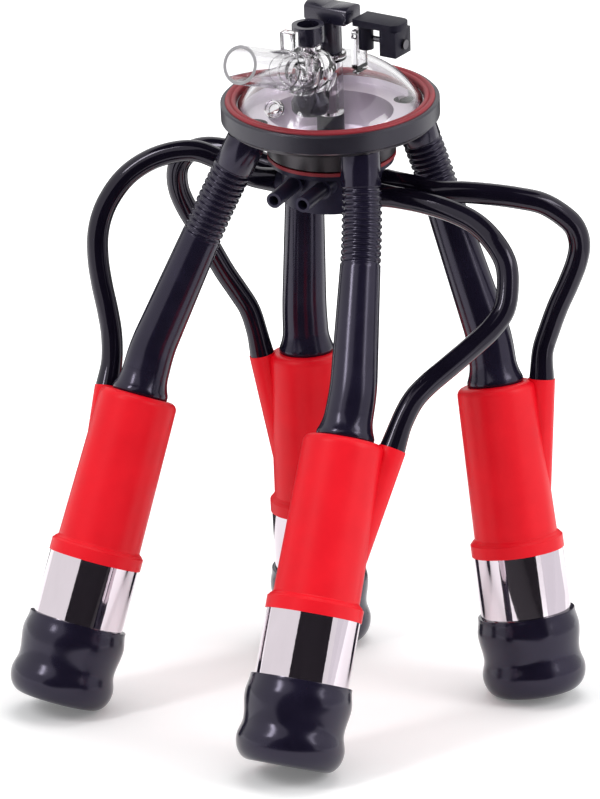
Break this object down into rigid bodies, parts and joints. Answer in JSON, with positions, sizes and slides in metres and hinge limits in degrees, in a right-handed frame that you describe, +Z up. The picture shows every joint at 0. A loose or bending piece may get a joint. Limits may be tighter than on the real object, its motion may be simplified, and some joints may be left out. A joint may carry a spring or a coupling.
{
  "type": "milking machine cluster",
  "caption": "Milking cluster standing on its mouthpieces: clear claw with outlet and shut-off valve, ribbed milk tubes, pulse tubes, and steel teat cups with red sleeves and rubber liners.",
  "frame": {"origin": "on the floor under the middle of the standing cluster, taken without the pulse tubes", "axes": "+Z up, from the mouthpieces to the claw; -Y towards the front cup; +X to the right cup"},
  "size_m": [0.2986, 0.2792, 0.366],
  "materials": {
    "clear_plastic": "clear, polished",
    "ring_plastic": "satin",
    "red_rubber": "matt",
    "red_plastic": "satin",
    "black_plastic": "satin",
    "polished_steel": "polished stainless steel",
    "black_rubber": "satin",
    "black_hose": "glossy"
  },
  "bodies": {
    "claw": {"bowl": "clear_plastic", "outlet_pipe": "clear_plastic", "rim_ring": "ring_plastic", "rim_seal": "red_rubber", "lower_cover": "polished_steel", "cover_gasket": "red_rubber", "milk_inlet_1": "polished_steel", "milk_inlet_2": "polished_steel", "milk_inlet_3": "polished_steel", "milk_inlet_4": "polished_steel", "pulse_distributor": "black_plastic", "distributor_lid": "black_plastic", "lid_screw": "polished_steel", "centre_boss": "black_plastic", "bolt_seal": "black_rubber", "valve_gland": "black_rubber", "hanger_bracket": "black_plastic", "hanger_screw": "polished_steel", "milk_tube_1": "black_rubber", "milk_tube_2": "black_rubber", "milk_tube_3": "black_rubber", "milk_tube_4": "black_rubber", "pulse_tube_1": "black_hose", "pulse_tube_2": "black_hose", "pulse_tube_3": "black_hose", "pulse_tube_4": "black_hose"},
    "cup_1": {"liner_1": "black_rubber", "shell_tube_1": "polished_steel", "shell_sleeve_1": "red_plastic", "shell_seal_1": "red_rubber"},
    "cup_2": {"liner_2": "black_rubber", "shell_tube_2": "polished_steel", "shell_sleeve_2": "red_plastic", "shell_seal_2": "red_rubber"},
    "cup_3": {"liner_3": "black_rubber", "shell_tube_3": "polished_steel", "shell_sleeve_3": "red_plastic", "shell_seal_3": "red_rubber"},
    "cup_4": {"liner_4": "black_rubber", "shell_tube_4": "polished_steel", "shell_sleeve_4": "red_plastic", "shell_seal_4": "red_rubber"},
    "shutoff_valve": {"valve_knob": "black_plastic", "valve_stem": "polished_steel", "valve_bell": "black_rubber"},
    "clamp": {"clamp_handle": "black_plastic", "clamp_bolt": "polished_steel"}
  },
  "joints": [
    {"name": "cup_swing_1", "type": "hinge", "parent": "claw", "child": "cup_1", "pos_m": [-0.03908, 0.02335, 0.26843], "axis": [-0.2886, 0.9575, 0], "range_deg": [-10, 30], "stiffness_Nm_per_rad": 6, "deforming": ["milk_tube_1", "pulse_tube_1"]},
    {"name": "cup_swing_2", "type": "hinge", "parent": "claw", "child": "cup_2", "pos_m": [0.03101, -0.01531, 0.26312], "axis": [-0.989, 0.148, 0], "range_deg": [-10, 30], "stiffness_Nm_per_rad": 6, "deforming": ["milk_tube_2", "pulse_tube_2"]},
    {"name": "cup_swing_3", "type": "hinge", "parent": "claw", "child": "cup_3", "pos_m": [0.067, 0.0509, 0.27716], "axis": [-0.1459, -0.9893, 0], "range_deg": [-10, 30], "stiffness_Nm_per_rad": 6, "deforming": ["milk_tube_3", "pulse_tube_3"]},
    {"name": "cup_swing_4", "type": "hinge", "parent": "claw", "child": "cup_4", "pos_m": [0.00232, 0.089, 0.28237], "axis": [0.9993, 0.0361, 0], "range_deg": [-10, 30], "stiffness_Nm_per_rad": 6, "deforming": ["milk_tube_4", "pulse_tube_4"]},
    {"name": "valve_lift", "type": "slide", "parent": "claw", "child": "shutoff_valve", "axis": [-0.0343, -0.1908, 0.981], "range_m": [0, 0.005]},
    {"name": "clamp_turn", "type": "hinge", "parent": "claw", "child": "clamp", "pos_m": [0.01386, 0.02151, 0.35315], "axis": [-0.0343, -0.1908, 0.981], "range_deg": [-25, 25]}
  ]
}
